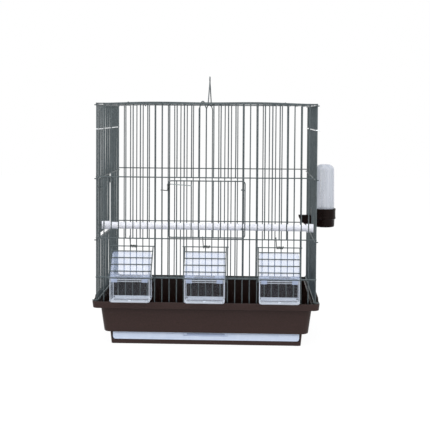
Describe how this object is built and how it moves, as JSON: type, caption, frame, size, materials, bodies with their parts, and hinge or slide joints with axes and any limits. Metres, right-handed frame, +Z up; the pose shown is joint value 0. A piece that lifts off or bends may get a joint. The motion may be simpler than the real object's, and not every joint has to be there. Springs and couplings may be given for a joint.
{
  "type": "bird cage",
  "caption": "Wire bird cage on a moulded base with a litter drawer, hinged doors with coil latches, lift-off seed feeders, perch, tube drinker and folding hanger.",
  "frame": {"origin": "middle of the flat underside of the base, on the surface it stands on", "axes": "+Z up; the front with the big door, the feeders and the drawer faces -Y; +X to the right seen from the front, where the drinker hangs"},
  "size_m": [0.4268, 0.3007, 0.4691],
  "materials": {
    "back_panel": "satin grey-green paint on steel wire",
    "base_tub": "brown polypropylene with a fine grain",
    "drawer": "pale moulded plastic",
    "drinker_base": "dark brown plastic",
    "drinker_tube": "clear polystyrene",
    "feeder_catch_centre": "satin grey-green paint on steel wire",
    "feeder_catch_left": "satin grey-green paint on steel wire",
    "feeder_catch_right": "satin grey-green paint on steel wire",
    "feeder_cover_centre": "clear polystyrene",
    "feeder_cover_left": "clear polystyrene",
    "feeder_cover_right": "clear polystyrene",
    "feeder_cup_centre": "clear polystyrene",
    "feeder_cup_left": "clear polystyrene",
    "feeder_cup_right": "clear polystyrene",
    "feeder_frame_centre": "satin grey-green paint on steel wire",
    "feeder_frame_left": "satin grey-green paint on steel wire",
    "feeder_frame_right": "satin grey-green paint on steel wire",
    "front_door": "satin grey-green paint on steel wire",
    "front_door_latch": "satin grey-green paint on steel wire",
    "front_panel": "satin grey-green paint on steel wire",
    "hanger": "satin grey-green paint on steel wire",
    "left_panel": "satin grey-green paint on steel wire",
    "perch_bar": "white plastic",
    "perch_cap_left": "white plastic",
    "perch_cap_right": "white plastic",
    "right_panel": "satin grey-green paint on steel wire",
    "roof_panel": "satin grey-green paint on steel wire",
    "side_door": "satin grey-green paint on steel wire",
    "side_door_latch": "satin grey-green paint on steel wire",
    "stay_rod_left": "bright zinc plate",
    "stay_rod_right": "bright zinc plate"
  },
  "bodies": {
    "cage": {"base_tub": "base_tub", "front_panel": "front_panel", "back_panel": "back_panel", "left_panel": "left_panel", "right_panel": "right_panel", "roof_panel": "roof_panel", "stay_rod_left": "stay_rod_left", "stay_rod_right": "stay_rod_right", "perch_bar": "perch_bar", "perch_cap_left": "perch_cap_left", "perch_cap_right": "perch_cap_right", "drinker_base": "drinker_base"},
    "drawer": {"drawer": "drawer"},
    "front_door": {"front_door": "front_door"},
    "front_door_latch": {"front_door_latch": "front_door_latch"},
    "side_door": {"side_door": "side_door"},
    "side_door_latch": {"side_door_latch": "side_door_latch"},
    "hanger": {"hanger": "hanger"},
    "drinker_tube": {"drinker_tube": "drinker_tube"},
    "feeder_left": {"feeder_frame_left": "feeder_frame_left", "feeder_cup_left": "feeder_cup_left", "feeder_cover_left": "feeder_cover_left"},
    "feeder_catch_left": {"feeder_catch_left": "feeder_catch_left"},
    "feeder_centre": {"feeder_frame_centre": "feeder_frame_centre", "feeder_cup_centre": "feeder_cup_centre", "feeder_cover_centre": "feeder_cover_centre"},
    "feeder_catch_centre": {"feeder_catch_centre": "feeder_catch_centre"},
    "feeder_right": {"feeder_frame_right": "feeder_frame_right", "feeder_cup_right": "feeder_cup_right", "feeder_cover_right": "feeder_cover_right"},
    "feeder_catch_right": {"feeder_catch_right": "feeder_catch_right"}
  },
  "joints": [
    {"name": "drawer_slide", "type": "slide", "parent": "cage", "child": "drawer", "axis": [0, -1, 0], "range_m": [0, 0.2]},
    {"name": "front_door_hinge", "type": "hinge", "parent": "cage", "child": "front_door", "pos_m": [0.0625, -0.125, 0.24], "axis": [0, 0, 1], "range_deg": [0, 110]},
    {"name": "front_door_latch_turn", "type": "hinge", "parent": "front_door", "child": "front_door_latch", "pos_m": [-0.0638, -0.129, 0.275], "axis": [0, 0, 1], "range_deg": [-50, 0]},
    {"name": "side_door_hinge", "type": "hinge", "parent": "cage", "child": "side_door", "pos_m": [-0.1875, -0.0875, 0.24], "axis": [0, 0, 1], "range_deg": [0, 110]},
    {"name": "side_door_latch_turn", "type": "hinge", "parent": "side_door", "child": "side_door_latch", "pos_m": [-0.1915, 0.0388, 0.275], "axis": [0, 0, 1], "range_deg": [-50, 0]},
    {"name": "hanger_fold", "type": "hinge", "parent": "cage", "child": "hanger", "pos_m": [0, 0, 0.4174], "axis": [0, 1, 0], "range_deg": [-72, 72]},
    {"name": "drinker_tube_lift", "type": "slide", "parent": "cage", "child": "drinker_tube", "axis": [0, 0, 1], "range_m": [0, 0.03]},
    {"name": "feeder_left_lift", "type": "slide", "parent": "cage", "child": "feeder_left", "axis": [0, 0, 1], "range_m": [0, 0.01]},
    {"name": "feeder_left_catch_turn", "type": "hinge", "parent": "feeder_left", "child": "feeder_catch_left", "pos_m": [-0.125, -0.1289, 0.1739], "axis": [1, 0, 0], "range_deg": [-100, 0]},
    {"name": "feeder_centre_lift", "type": "slide", "parent": "cage", "child": "feeder_centre", "axis": [0, 0, 1], "range_m": [0, 0.01]},
    {"name": "feeder_centre_catch_turn", "type": "hinge", "parent": "feeder_centre", "child": "feeder_catch_centre", "pos_m": [0, -0.1289, 0.1739], "axis": [1, 0, 0], "range_deg": [-100, 0]},
    {"name": "feeder_right_lift", "type": "slide", "parent": "cage", "child": "feeder_right", "axis": [0, 0, 1], "range_m": [0, 0.01]},
    {"name": "feeder_right_catch_turn", "type": "hinge", "parent": "feeder_right", "child": "feeder_catch_right", "pos_m": [0.125, -0.1289, 0.1739], "axis": [1, 0, 0], "range_deg": [-100, 0]}
  ]
}
